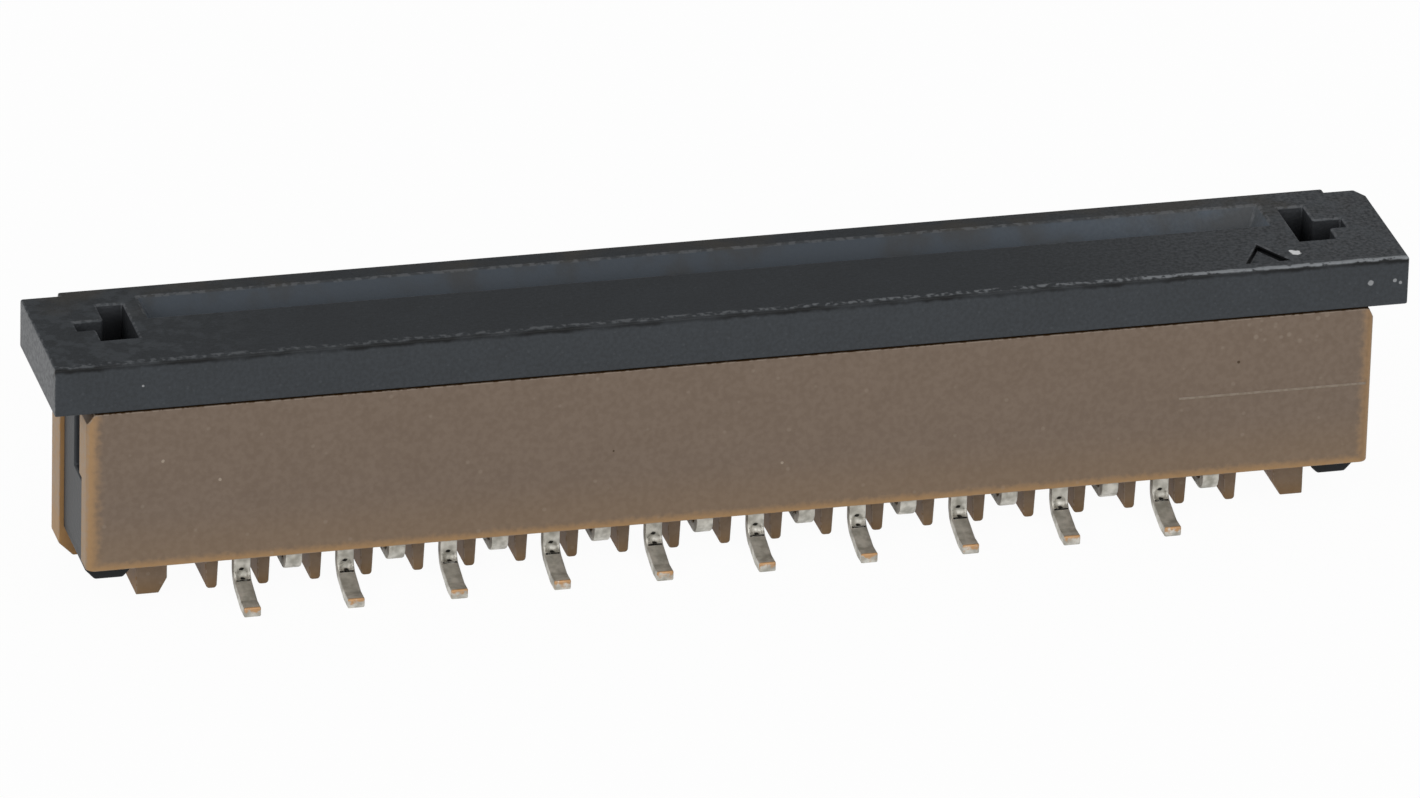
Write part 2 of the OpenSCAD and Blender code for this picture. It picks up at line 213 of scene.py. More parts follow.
class EffectLibrary:
    """Shared shader groups, each built once."""

    def __init__(self) -> None:
        """Builds the three effects that the finishes share."""
        self.grain = self._grain()
        self.specks = self._specks()
        self.wear = self._wear()

    @staticmethod
    def _group(
        name: str, inputs: dict[str, float], outputs: list[str]
    ) -> tuple[bpy.types.NodeTree, Board, bpy.types.Node, bpy.types.Node]:
        """Starts a group of plain number sockets.

        Args:
            name: Name of the group.
            inputs: Names and default values of its inputs.
            outputs: Names of its outputs.

        Returns:
            The group, a board on it, and its input and output nodes.
        """
        tree = bpy.data.node_groups.new(name, "ShaderNodeTree")
        for key, value in inputs.items():
            socket = tree.interface.new_socket(key, in_out="INPUT", socket_type="NodeSocketFloat")
            socket.default_value = value
        for key in outputs:
            tree.interface.new_socket(key, in_out="OUTPUT", socket_type="NodeSocketFloat")
        board = Board(tree)
        return tree, board, board.add("NodeGroupInput"), board.add("NodeGroupOutput")

    def _grain(self) -> bpy.types.NodeTree:
        """Builds the fine and cloudy texture of a moulded or rolled surface."""
        tree, board, given, made = self._group(
            "surface_grain", {"Fine": 20.0, "Cloud": 0.8}, ["Height", "Cloudiness"]
        )
        place = board.place_mm()
        fine = board.noise(place, given.outputs["Fine"], 3.0)
        cloud = board.noise(place, given.outputs["Cloud"], 4.0)
        board.feed(made.inputs["Height"], fine)
        board.feed(made.inputs["Cloudiness"], board.ramp(cloud, 0.3, 0.7))
        return tree

    def _specks(self) -> bpy.types.NodeTree:
        """Builds scattered round specks, as many as their share of the cells."""
        tree, board, given, made = self._group(
            "specks", {"Scale": 4.0, "Share": 0.1, "Size": 0.2}, ["Mask"]
        )
        cells = board.add("ShaderNodeTexVoronoi")
        board.feed(cells.inputs["Vector"], board.place_mm())
        board.feed(cells.inputs["Scale"], given.outputs["Scale"])
        draw = board.split(cells.outputs["Color"])[0]
        chosen = board.math("LESS_THAN", draw, given.outputs["Share"])
        inner = board.math("MULTIPLY", given.outputs["Size"], 0.5)
        disc = board.ramp(cells.outputs["Distance"], given.outputs["Size"], inner)
        board.feed(made.inputs["Mask"], board.math("MULTIPLY", chosen, disc))
        return tree

    def _wear(self) -> bpy.types.NodeTree:
        """Builds broken wear along the softened edges, which the piece marks."""
        tree, board, given, made = self._group(
            "edge_wear", {"Scale": 6.0, "Amount": 0.5}, ["Mask"]
        )
        edge = board.add("ShaderNodeAttribute", attribute_name=SoftCopy.EDGE_NAME)
        patches = board.noise(board.place_mm(), given.outputs["Scale"], 5.0)
        start = board.math("SUBTRACT", 1.0, given.outputs["Amount"])
        broken = board.ramp(patches, start, board.math("ADD", start, 0.12))
        board.feed(made.inputs["Mask"], board.math("MULTIPLY", edge.outputs["Fac"], broken))
        return tree


@dataclass(frozen=True)
class Surface:
    """Where a point of a piece lies, in millimetres, and which way it faces."""

    board: Board
    place: bpy.types.NodeSocket
    x: bpy.types.NodeSocket
    y: bpy.types.NodeSocket
    z: bpy.types.NodeSocket
    side: bpy.types.NodeSocket
    back: bpy.types.NodeSocket
    up: bpy.types.NodeSocket

    @classmethod
    def of(cls, board: Board) -> Surface:
        """Reads the place and the facing on a board."""
        place = board.place_mm()
        return cls(board, place, *board.split(place), *board.facing())


@dataclass(frozen=True)
class Coat:
    """A colour to lay over another one, and the most of it that shows."""

    code: str
    share: float = 1.0

    def over(
        self, board: Board, mask: bpy.types.NodeSocket, under: bpy.types.NodeSocket
    ) -> bpy.types.NodeSocket:
        """Lays the colour over another one.

        Args:
            board: Where the nodes go.
            mask: Where the colour shows, from 0 to 1.
            under: The colour below.

        Returns:
            The socket with both colours.
        """
        return board.mix(board.math("MULTIPLY", mask, self.share), under, colour(self.code))


@dataclass(frozen=True)
class Spot:
    """One small mark on a surface, in millimetres, with an uneven outline."""

    place_mm: tuple[float, float, float]
    radius_mm: float

    def mask(self, board: Board, place: bpy.types.NodeSocket) -> bpy.types.NodeSocket:
        """Gives 1 on the spot.

        Args:
            board: Where its nodes go.
            place: The place on the piece.

        Returns:
            The mask.
        """
        apart = board.add("ShaderNodeVectorMath", operation="DISTANCE")
        board.feed(apart.inputs[0], place)
        apart.inputs[1].default_value = self.place_mm
        ragged = board.noise(place, 14.0)
        uneven = board.math("MULTIPLY_ADD", ragged, self.radius_mm, apart.outputs["Value"])
        return board.ramp(uneven, self.radius_mm * 1.6, self.radius_mm * 1.3)


@dataclass(frozen=True)
class Finish:
    """What every finish shares: a name, its base colour, its roughness and its gloss."""

    name: str
    base: str
    roughness: float
    gloss: float = 0.5

    def start(self) -> tuple[bpy.types.Material, Board, bpy.types.Node]:
        """Starts a material.

        Returns:
            The material, a board on its tree, and its Principled shader.
        """
        material = bpy.data.materials.new(self.name)
        material.use_nodes = True
        shader = material.node_tree.nodes["Principled BSDF"]
        shader.inputs["Base Color"].default_value = colour(self.base)
        shader.inputs["Roughness"].default_value = self.roughness
        shader.inputs["Specular IOR Level"].default_value = self.gloss
        return material, Board(material.node_tree), shader

    @staticmethod
    def effect(board: Board, group: bpy.types.NodeTree, **values: object) -> bpy.types.Node:
        """Places a shared effect.

        Args:
            board: Where it goes.
            group: The effect.
            **values: Its inputs, by name.

        Returns:
            The placed node.
        """
        node = board.add("ShaderNodeGroup", node_tree=group)
        for name, value in values.items():
            board.feed(node.inputs[name], value)
        return node

    @staticmethod
    def paint_spots(
        board: Board,
        place: bpy.types.NodeSocket,
        under: bpy.types.NodeSocket,
        spots: tuple[Spot, ...],
        coat: Coat,
    ) -> bpy.types.NodeSocket:
        """Paints chips or specks over a colour.

        Args:
            board: Where the nodes go.
            place: The place on the piece, in millimetres.
            under: The colour below.
            spots: The chips or specks.
            coat: Their colour.

        Returns:
            The socket with the spotted colour.
        """
        result = under
        for spot in spots:
            result = coat.over(board, spot.mask(board, place), result)
        return result

    @staticmethod
    def bump(
        board: Board, shader: bpy.types.Node, height: bpy.types.NodeSocket, depth_mm: float
    ) -> None:
        """Gives a shader a fine relief of the stated depth."""
        relief = board.add("ShaderNodeBump")
        relief.inputs["Distance"].default_value = depth_mm * MM
        board.feed(relief.inputs["Height"], height)
        board.feed(shader.inputs["Normal"], relief.outputs["Normal"])


@dataclass(frozen=True)
class WallPlan:
    """Where the housing's walls, fins, posts and corners lie, in millimetres."""

    half_length: float
    top: float
    low: float = 0.9
    warm_from: float = 2.2
    warm_to: float = 1.0
    fins_end: float = 11.3
    posts_front: float = 0.6
    ledge: float = 0.5
    chamfer: float = 0.25
    scuffed_in: float = 10.0
    scuffed_out: float = 11.6

    def from_end(self, at: Surface) -> bpy.types.NodeSocket:
        """Gives the distance from the nearer end of the housing."""
        return at.board.math("SUBTRACT", self.half_length, at.board.math("ABSOLUTE", at.x))


@dataclass(frozen=True)
class HousingFinish(Finish):
    """Warm grey-brown plastic, mottled, and painted yellower where its edges let light through."""

    shade: str = "726356"
    low: Coat = Coat("927858", 0.22)
    painted_edge_glow: Coat = Coat("b08a5c", 0.7)
    tip: Coat = Coat("84622f", 0.4)
    painted_end_light: Coat = Coat("94877a", 0.5)
    glow: Coat = Coat("c09058", 0.45)
    painted_flank_shade: Coat = Coat("86602f", 0.9)
    shadow: Coat = Coat("3e2a12")
    wear: Coat = Coat("94877a", 0.55)
    speck: Coat = Coat("9d9081", 0.22)
    scuff: Coat = Coat("9d9081", 0.3)
    fleck: Coat = Coat("9d9081")
    pit_shade: Coat = Coat("4b3c2e")
    edge_depth_mm: float = 0.32
    relief_mm: float = 0.006
    flecks: tuple[Spot, ...] = (
        Spot((-11.11, -1.7, 3.09), 0.035),
        Spot((-10.01, -1.7, 2.61), 0.035),
        Spot((0.9, -1.7, 1.95), 0.03),
    )
    pits: tuple[Spot, ...] = (Spot((9.86, -1.7, 3.25), 0.03), Spot((-2.4, -1.7, 2.5), 0.02))

    def build(self, effects: EffectLibrary, plan: WallPlan) -> bpy.types.Material:
        """Builds the material.

        Args:
            effects: The shared effects.
            plan: Where the housing's walls and corners lie.

        Returns:
            The material.
        """
        material, board, shader = self.start()
        grain = self.effect(board, effects.grain, Fine=9.0, Cloud=1.6)
        height = grain.outputs["Height"]
        cloudy = board.math("MULTIPLY_ADD", grain.outputs["Cloudiness"], 0.3, 0.1)
        mottle = board.math("ADD", cloudy, board.ramp(height, 0.32, 0.68))
        tone = board.mix(board.math("MULTIPLY", mottle, 0.75), colour(self.shade), colour(self.base))
        at = Surface.of(board)
        tone = self._yellowed(at, plan, tone, height)
        tone = self._turned(at, plan, tone, mottle)
        tone = self._handled(at, plan, tone, effects)
        board.feed(shader.inputs["Base Color"], tone)
        self.bump(board, shader, height, self.relief_mm)
        return material

    def _yellowed(
        self,
        at: Surface,
        plan: WallPlan,
        under: bpy.types.NodeSocket,
        height: bpy.types.NodeSocket,
    ) -> bpy.types.NodeSocket:
        """Yellows the walls low down and at the feet, and paints the light that their ends and lower
        edges let through.

        Args:
            at: The point on the housing.
            plan: The housing's places.
            under: The colour below.
            height: The grain, which makes the painted glow along the edges ragged.

        Returns:
            The colour with the warmer parts.
        """
        board = at.board
        tone = self.low.over(board, board.ramp(at.z, plan.warm_from, plan.warm_to), under)
        from_low = board.math("ABSOLUTE", board.math("SUBTRACT", at.z, plan.low))
        nearest = board.math("MINIMUM", plan.from_end(at), board.math("MULTIPLY", from_low, 1.5))
        ragged = board.math("MULTIPLY_ADD", height, self.edge_depth_mm, self.edge_depth_mm / 2)
        # Painted light: the glow that the thin ends and lower edges let through.
        tone = self.painted_edge_glow.over(board, board.ramp(nearest, ragged, 0.0), tone)
        return self.tip.over(board, board.ramp(at.z, plan.low / 2, 0.0), tone)

    def _turned(
        self,
        at: Surface,
        plan: WallPlan,
        under: bpy.types.NodeSocket,
        mottle: bpy.types.NodeSocket,
    ) -> bpy.types.NodeSocket:
        """Paints light and shade on the faces that turn away: light on the ends and on the posts'
        inner faces, shade on the fins' flanks, and shadow on the ledges and corners.

        Args:
            at: The point on the housing.
            plan: The housing's places.
            under: The colour below.
            mottle: The mottling, which breaks up the painted light on the ends.

        Returns:
            The colour with those faces tinted.
        """
        board = at.board
        across = board.math("ABSOLUTE", at.side)
        # Painted light: faces that turn to the sides are paler.
        end_lit = board.every(
            board.ramp(across, 0.7, 0.95),
            board.ramp(at.z, plan.low - 0.1, plan.low),
            board.ramp(mottle, 0.0, 1.2),
        )
        tone = self.painted_end_light.over(board, end_lit, under)
        # Painted light: the posts' inner front faces are brighter and warmer.
        behind = board.ramp(at.y, plan.posts_front, plan.posts_front + 0.2)
        inner = board.every(behind, board.ramp(at.back, -0.5, -0.9))
        tone = self.glow.over(board, inner, tone)
        # Painted shade: a darker brown on the fins' left flanks.
        within = board.ramp(board.math("ABSOLUTE", at.x), plan.fins_end + 0.1, plan.fins_end)
        ahead = board.ramp(at.y, plan.posts_front + 0.2, plan.posts_front)
        painted_flank_shade = board.every(
            board.ramp(at.z, plan.low, plan.low - 0.1),
            board.ramp(at.side, -0.5, -0.9),
            board.math("MAXIMUM", within, ahead),
        )
        tone = self.painted_flank_shade.over(board, painted_flank_shade, tone)
        # Painted shadow on the ledge and the corner chamfers under the slider.
        ledge_z = plan.top - plan.ledge
        ledge = board.every(board.ramp(at.z, ledge_z - 0.1, ledge_z), board.ramp(at.up, 0.3, 0.5))
        notch_z = plan.top - plan.chamfer
        notch = board.every(
            board.ramp(plan.from_end(at), 0.002, 0.015),
            board.ramp(at.z, notch_z - 0.02, notch_z),
            board.ramp(across, 0.5, 0.7),
            board.ramp(board.math("ABSOLUTE", at.back), 0.3, 0.1),
        )
        return self.shadow.over(board, board.math("MAXIMUM", ledge, notch), tone)

    def _handled(
        self, at: Surface, plan: WallPlan, under: bpy.types.NodeSocket, effects: EffectLibrary
    ) -> bpy.types.NodeSocket:
        """Adds what handling leaves: worn edges, partly a painted highlight, specks, a scuffed
        corner, flecks and pits with painted shade.

        Args:
            at: The point on the housing.
            plan: The housing's places.
            under: The colour below.
            effects: The shared effects.

        Returns:
            The colour with those marks.
        """
        board = at.board
        # Partly wear, partly a painted highlight: the softened edges are paler in broken patches.
        worn = self.effect(board, effects.wear, Scale=9.0, Amount=0.6)
        tone = self.wear.over(board, worn.outputs["Mask"], under)
        specks = self.effect(board, effects.specks, Scale=4.0, Share=0.14, Size=0.22)
        tone = self.speck.over(board, specks.outputs["Mask"], tone)
        scuffs = self.effect(board, effects.specks, Scale=6.0, Share=0.5, Size=0.4)
        corner = board.every(
            scuffs.outputs["Mask"],
            board.between(at.x, plan.scuffed_in, plan.scuffed_out, 0.5),
            board.between(at.z, plan.top - 0.5, plan.top - 0.1, 0.2),
        )
        tone = self.scuff.over(board, corner, tone)
        tone = self.paint_spots(board, at.place, tone, self.flecks, self.fleck)
        # Painted shade: the pits are dark spots of colour.
        return self.paint_spots(board, at.place, tone, self.pits, self.pit_shade)


@dataclass(frozen=True)
class LineFinish(Finish):
    """Pale broken line that a mould's parting leaves; its paleness is a painted highlight on the
    ridge.
    """

    gap: str = "827567"

    def build(self) -> bpy.types.Material:
        """Builds the material."""
        material, board, shader = self.start()
        dots = board.ramp(board.noise(board.place_mm(), 7.0), 0.42, 0.58)
        board.feed(shader.inputs["Base Color"], board.mix(dots, colour(self.gap), colour(self.base)))
        return material


@dataclass(frozen=True)
class HeadPlan:
    """Where the slider's openings, legs and hooks lie, in millimetres."""

    top: float
    front: float
    end: float = 13.18
    window_in: float = 11.31
    window_out: float = 12.43
    window_front: float = -0.58
    window_back: float = 1.02
    mark_in: float = 10.0
    mark_out: float = 11.0
    mark_front: float = -1.5
    mark_back: float = -0.5
    mouth_front: float = -0.4
    mouth_back: float = 1.5
    mouth_end: float = 11.3
    leg_depth: float = 1.0
    hook_depth: float = 4.2


@dataclass(frozen=True)
class SliderFinish(Finish):
    """Charcoal plastic with a fine grain, dotted burrs along its top edge and pale chips, with
    painted shade and highlights.
    """

    shade: str = "34373a"
    dust: Coat = Coat("6a6c6f", 0.65)
    painted_top_shade: Coat = Coat("333231", 0.25)
    blotch: Coat = Coat("54585c", 0.3)
    painted_mouth_light: Coat = Coat("545d67", 0.7)
    warm_patch: Coat = Coat("45423d", 0.6)
    end_skin_and_light: Coat = Coat("707172", 0.6)
    speck: Coat = Coat("54585c", 0.2)
    painted_leg_shade: Coat = Coat("08090a", 0.6)
    rub: Coat = Coat("6a6c6f", 0.4)
    burr_and_highlight: Coat = Coat("a6aaae")
    painted_shade: Coat = Coat("08090a")
    pit_shade: Coat = Coat("383a3d")
    chip_glint: Coat = Coat("e4e5e6")
    fleck: Coat = Coat("8e9092")
    relief_mm: float = 0.008
    chips: tuple[Spot, ...] = (
        Spot((11.1, -1.06, 5.15), 0.1),
        Spot((11.03, -0.97, 5.15), 0.05),
    )
    flecks: tuple[Spot, ...] = (
        Spot((12.42, -1.7, 4.69), 0.055),
        Spot((12.9, -1.7, 4.7), 0.04),
        Spot((13.02, -1.7, 4.64), 0.036),
        Spot((-11.5, -1.7, 4.68), 0.026),
    )

    def build(self, effects: EffectLibrary, plan: HeadPlan) -> bpy.types.Material:
        """Builds the material.

        Args:
            effects: The shared effects.
            plan: Where the slider's parts lie.

        Returns:
            The material.
        """
        material, board, shader = self.start()
        grain = self.effect(board, effects.grain, Fine=13.0, Cloud=1.1)
        fine = board.ramp(grain.outputs["Height"], 0.3, 0.7)
        mottle = board.math("MULTIPLY_ADD", grain.outputs["Cloudiness"], 0.35, fine)
        tone = board.mix(board.math("MULTIPLY", mottle, 0.75), colour(self.shade), colour(self.base))
        at = Surface.of(board)
        tone = self._skin(at, plan, tone, fine)
        tone = self._handled(at, plan, tone, effects)
        tone = self._burred(at, plan, tone)
        mark = self._mark(at, plan)
        window = self._window(at, plan)
        # Painted shade on the mouth's left part, the hooks and the mark's walls.
        tone = self.painted_shade.over(board, self._shaded(at, plan), tone)
        tone = self.painted_shade.over(board, mark, tone)
        # Painted shade in the deep key windows.
        tone = self.pit_shade.over(board, window, tone)
        # Partly pale chips, partly a painted glint on them.
        tone = self.paint_spots(board, at.place, tone, self.chips, self.chip_glint)
        tone = self.paint_spots(board, at.place, tone, self.flecks, self.fleck)
        board.feed(shader.inputs["Base Color"], tone)
        # Painted shade: metal on the windows' and the mark's walls darkens them further.
        dull_window = board.math("MULTIPLY", window, 0.5)
        dull_mark = board.math("MULTIPLY", mark, 0.8)
        board.feed(shader.inputs["Metallic"], board.math("MAXIMUM", dull_window, dull_mark))
        self.bump(board, shader, grain.outputs["Height"], self.relief_mm)
        return material

    def _skin(
        self,
        at: Surface,
        plan: HeadPlan,
        under: bpy.types.NodeSocket,
        fine: bpy.types.NodeSocket,
    ) -> bpy.types.NodeSocket:
        """Tints the dusty top and the patchy back strip, paints shade on the flattest top faces, and
        paints light on the mouth's walls and on the rough left end.

        Args:
            at: The point on the slider.
            plan: The slider's places.
            under: The colour below.
            fine: The fine grain, which breaks up the dust.

        Returns:
            The tinted colour.
        """
        board = at.board
        on_top = board.ramp(at.up, 0.3, 0.6)
        tone = self.dust.over(board, board.every(board.ramp(at.x, 4.0, 13.0), on_top, fine), under)
        # Painted shade: the flattest top faces are darker.
        tone = self.painted_top_shade.over(board, board.ramp(at.up, 0.6, 0.9), tone)
        blotched = board.every(
            on_top,
            board.ramp(board.math("ABSOLUTE", at.x), 8.0, 11.5),
            board.ramp(board.noise(at.place, 4.0, 4.0), 0.46, 0.6),
        )
        tone = self.blotch.over(board, blotched, tone)
        # Painted light: the mouth's walls are paler.
        tone = self.painted_mouth_light.over(board, self._mouth(at, plan), tone)
        patches = board.ramp(board.noise(at.place, 0.9, 5.0), 0.45, 0.68)
        on_back = board.every(on_top, board.ramp(at.y, 0.0, 1.3), patches)
        tone = self.warm_patch.over(board, on_back, tone)
        # Partly the rough skin of the left end, partly painted light from the left.
        lit_rough_end = board.every(
            board.ramp(at.x, 0.2 - plan.end, -plan.end), board.ramp(at.side, -0.6, -0.9), fine
        )
        return self.end_skin_and_light.over(board, lit_rough_end, tone)

    def _handled(
        self, at: Surface, plan: HeadPlan, under: bpy.types.NodeSocket, effects: EffectLibrary
    ) -> bpy.types.NodeSocket:
        """Adds fine specks, painted shade on the legs' left faces, and rubbed edges behind the front
        one.

        Args:
            at: The point on the slider.
            plan: The slider's places.
            under: The colour below.
            effects: The shared effects.

        Returns:
            The colour with those marks.
        """
        board = at.board
        specks = self.effect(board, effects.specks, Scale=9.0, Share=0.22, Size=0.3)
        tone = self.speck.over(board, specks.outputs["Mask"], under)
        # Painted shade on the legs' faces that turn to the left.
        leg_z = plan.top - plan.leg_depth
        painted_leg_shade = board.every(board.ramp(at.z, leg_z, leg_z - 0.1), board.ramp(at.side, -0.6, -0.9))
        tone = self.painted_leg_shade.over(board, painted_leg_shade, tone)
        worn = self.effect(board, effects.wear, Scale=7.0, Amount=0.55)
        rubbed = board.every(
            worn.outputs["Mask"],
            board.ramp(at.z, plan.top - 0.3, plan.top - 0.2),
            board.ramp(at.y, plan.front + 0.3, plan.front + 0.5),
        )
        return self.rub.over(board, rubbed, tone)

    def _burred(
        self, at: Surface, plan: HeadPlan, under: bpy.types.NodeSocket
    ) -> bpy.types.NodeSocket:
        """Lays the burrs on the top front edge: pale dots, partly a painted highlight, behind a dark
        line of painted shade, stronger to the right.

        Args:
            at: The point on the slider.
            plan: The slider's places.
            under: The colour below.

        Returns:
            The colour with the burrs on it.
        """
        board = at.board
        back = board.math("SUBTRACT", at.y, plan.front)
        down = board.math("SUBTRACT", plan.top, at.z)
        near = board.every(board.ramp(back, 0.4, 0.3), board.ramp(down, 0.3, 0.2))
        wobble = board.math("MULTIPLY_ADD", board.noise(at.place, 4.0, 4.0), 0.12, -0.06)
        across = board.math("ADD", board.math("SUBTRACT", back, down), wobble)
        broken = board.ramp(board.noise(at.place, 0.8), 0.4, 0.6)
        # Painted shade: the dark line under the burrs.
        groove = board.every(
            board.ramp(across, -0.13, -0.05),
            board.ramp(across, 0.05, -0.01),
            near,
            board.math("MULTIPLY_ADD", broken, 0.45, 0.5),
        )
        lined = self.painted_shade.over(board, groove, under)
        # The pale dots of the burrs: partly a painted highlight.
        middle = board.math("MULTIPLY_ADD", board.ramp(at.x, 6.0, 12.0), -0.05, 0.11)
        apart = board.math("ABSOLUTE", board.math("SUBTRACT", across, middle))
        merged = board.math("MULTIPLY_ADD", board.ramp(at.x, 6.5, 10.0), -0.14, 0.46)
        dots = board.ramp(board.noise(at.place, 8.0, 3.0), merged, board.math("ADD", merged, 0.14))
        far = board.math("MULTIPLY_ADD", board.ramp(at.x, 6.5, 9.8), 0.27, 0.18)
        strength = board.math("MULTIPLY_ADD", board.ramp(at.x, -5.0, 6.0), 0.2, far)
        ridge = board.every(board.ramp(apart, 0.09, 0.03), near, dots, strength)
        return self.burr_and_highlight.over(board, ridge, lined)

    @staticmethod
    def _mark(at: Surface, plan: HeadPlan) -> bpy.types.NodeSocket:
        """Finds the steep walls of the first-contact mark."""
        board = at.board
        return board.every(
            board.between(at.x, plan.mark_in, plan.mark_out),
            board.between(at.y, plan.mark_front, plan.mark_back),
            board.between(board.math("SUBTRACT", plan.top, at.z), 0.008, 0.2, 0.006),
            board.ramp(board.math("ABSOLUTE", at.up), 0.96, 0.85),
        )

    @staticmethod
    def _window(at: Surface, plan: HeadPlan) -> bpy.types.NodeSocket:
        """Finds the deep walls of the key windows."""
        board = at.board
        return board.every(
            board.between(board.math("ABSOLUTE", at.x), plan.window_in, plan.window_out, 0.005),
            board.between(at.y, plan.window_front, plan.window_back, 0.005),
            board.ramp(at.z, plan.top - 0.02, plan.top - 0.06),
        )

    @staticmethod
    def _mouth(at: Surface, plan: HeadPlan) -> bpy.types.NodeSocket:
        """Finds the walls of the cable's mouth."""
        board = at.board
        return board.every(
            board.between(at.y, plan.mouth_front, plan.mouth_back),
            board.ramp(board.math("SUBTRACT", plan.top, at.z), 0.01, 0.05),
            board.ramp(board.math("ABSOLUTE", at.x), plan.mouth_end, plan.mouth_end - 0.2),
        )

    def _shaded(self, at: Surface, plan: HeadPlan) -> bpy.types.NodeSocket:
        """Gives how much painted shade darkens the mouth's left part and the hooks."""
        board = at.board
        depth = board.math("SUBTRACT", plan.top, at.z)
        funnel = board.every(board.ramp(at.x, 11.0, 2.0), self._mouth(at, plan), 0.33)
        hook = board.every(board.ramp(depth, plan.hook_depth, plan.hook_depth + 0.15), 0.85)
        return board.math("MAXIMUM", funnel, hook)


@dataclass(frozen=True)
class FrontRow:
    """Where the contacts with front tails stand, in millimetres."""

    first_x: float
    spacing: float

    def place(self, at: Surface) -> bpy.types.NodeSocket:
        """Gives the place on a contact, measured across from its own middle."""
        half = self.spacing / 2
        within = at.board.math("WRAP", at.board.math("SUBTRACT", at.x, self.first_x), half, -half)
        place = at.board.add("ShaderNodeCombineXYZ")
        for socket, value in zip(place.inputs, (within, at.y, at.z)):
            at.board.feed(socket, value)
        return place.outputs[0]


@dataclass(frozen=True)
class TinFinish(Finish):
    """Satin tin on copper alloy, with bare copper on the sheared tips and painted dark reflections in
    the dimples.
    """

    smudge: str = "9d9a90"
    film: Coat = Coat("7a776b", 0.25)
    copper: Coat = Coat("b28a60")
    dimple_reflection: Coat = Coat("1e1c18")
    metallic: float = 0.5
    tip_depth_mm: float = 0.03
    relief_mm: float = 0.004
    dimple_reflection_spots: tuple[Spot, ...] = (
        Spot((-0.01, -1.4, 0.55), 0.05),
        Spot((0.01, -1.46, 0.385), 0.048),
    )

    def build(
        self, effects: EffectLibrary, reach_mm: float, thickness_mm: float, row: FrontRow
    ) -> bpy.types.Material:
        """Builds the material.

        Args:
            effects: The shared effects.
            reach_mm: Distance of the soles' tips from the middle.
            thickness_mm: Thickness of the strip.
            row: Where the front contacts stand.

        Returns:
            The material.
        """
        material, board, shader = self.start()
        shader.inputs["Metallic"].default_value = self.metallic
        grain = self.effect(board, effects.grain, Fine=8.0, Cloud=5.0)
        cloudiness = grain.outputs["Cloudiness"]
        tone = board.mix(cloudiness, colour(self.smudge), colour(self.base))
        at = Surface.of(board)
        tone = self.film.over(board, board.ramp(at.up, 0.6, 0.9), tone)
        tip = board.math("GREATER_THAN", board.math("ABSOLUTE", at.y), reach_mm - self.tip_depth_mm)
        wave = board.math("MULTIPLY_ADD", board.noise(at.place, 11.0), thickness_mm * 1.8, at.z)
        bare = board.ramp(wave, thickness_mm * 1.25, thickness_mm * 1.8)
        tone = self.copper.over(board, board.math("MULTIPLY", tip, bare), tone)
        # Painted reflection: dark crescents in the dimple of each front contact.
        tone = self.paint_spots(board, row.place(at), tone, self.dimple_reflection_spots, self.dimple_reflection)
        board.feed(shader.inputs["Base Color"], tone)
        rough = board.math("MULTIPLY_ADD", cloudiness, -0.12, self.roughness + 0.06)
        board.feed(shader.inputs["Roughness"], rough)
        self.bump(board, shader, grain.outputs["Height"], self.relief_mm)
        return material


@dataclass(frozen=True)
class PaperFinish(Finish):
    """White paper under the part, which keeps the part's soft shadow."""

    glow_share: float = 0.96

    def build(self) -> bpy.types.Material:
        """Builds the material."""
        material, board, shader = self.start()
        glow = board.add("ShaderNodeEmission")
        mixed = board.add("ShaderNodeMixShader")
        board.feed(mixed.inputs[0], board.math("MULTIPLY", board.seen(), self.glow_share))
        board.feed(mixed.inputs[1], shader.outputs[0])
        board.feed(mixed.inputs[2], glow.outputs[0])
        output = material.node_tree.nodes["Material Output"]
        board.feed(output.inputs["Surface"], mixed.outputs[0])
        return material


def work_on(piece: bpy.types.Object) -> None:
    """Makes one object the only selected and active one."""
    bpy.ops.object.select_all(action="DESELECT")
    piece.select_set(True)
    bpy.context.view_layer.objects.active = piece


def settle(piece: bpy.types.Object, finish: bpy.types.Material, body: Body) -> None:
    """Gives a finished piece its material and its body.

    Args:
        piece: The piece, at its place.
        finish: Its material.
        body: The body that it moves with.
    """
    piece.data.materials.clear()
    piece.data.materials.append(finish)
    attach(piece, body.value)
    LOG.info("%s: %d faces on %s", piece.name, len(piece.data.polygons), body.value)


